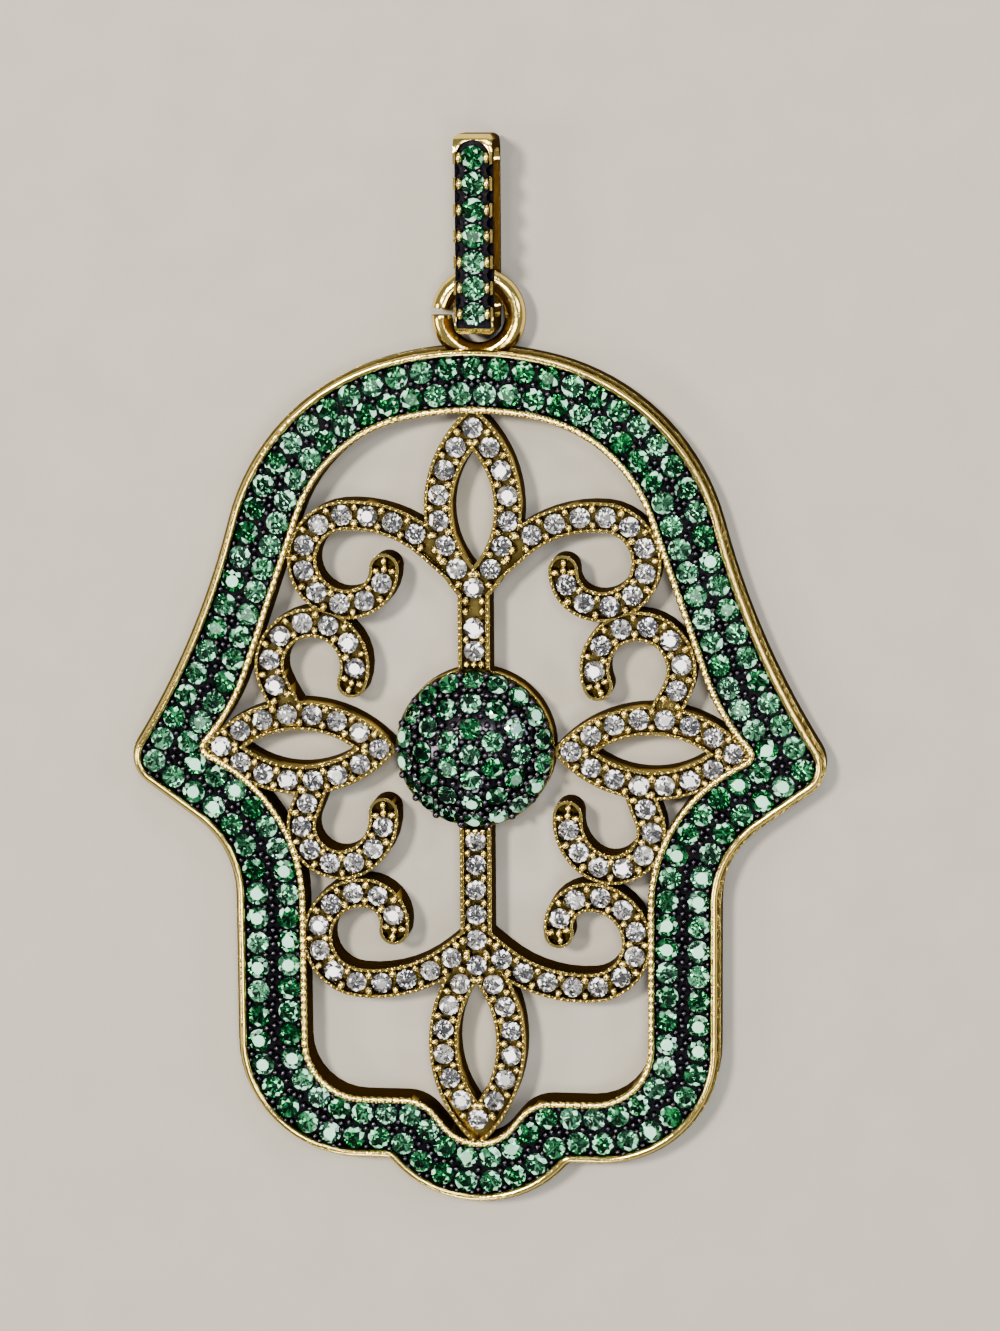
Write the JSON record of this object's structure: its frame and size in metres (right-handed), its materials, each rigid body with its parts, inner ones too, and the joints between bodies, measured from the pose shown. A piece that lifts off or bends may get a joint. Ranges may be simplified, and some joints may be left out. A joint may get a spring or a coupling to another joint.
{
  "type": "hamsa pendant",
  "caption": "Hamsa hand pendant: gold rim set with green stones, pierced scrolls and leaves, a black domed centre, and an oblong stone-set bail on a cut jump ring.",
  "frame": {"origin": "under the middle of the dome, on the plane of the flat back that the pendant lies on", "axes": "+Z out of the stone-set front, +Y towards the bail, +X to the viewer's right when looking at the front with the bail up"},
  "size_m": [0.0438, 0.0676, 0.0048],
  "materials": {
    "gold": "polished yellow gold plate",
    "black_rhodium": "polished black rhodium plate",
    "green_stone": "cut and polished",
    "white_stone": "cut and polished"
  },
  "bodies": {
    "root": {"frame": "gold", "centre_dome": "black_rhodium", "bail": "gold", "stones_left": "green_stone", "stones_right": "green_stone", "dome_stones": "green_stone", "bail_stones": "green_stone"}
  },
  "joints": []
}
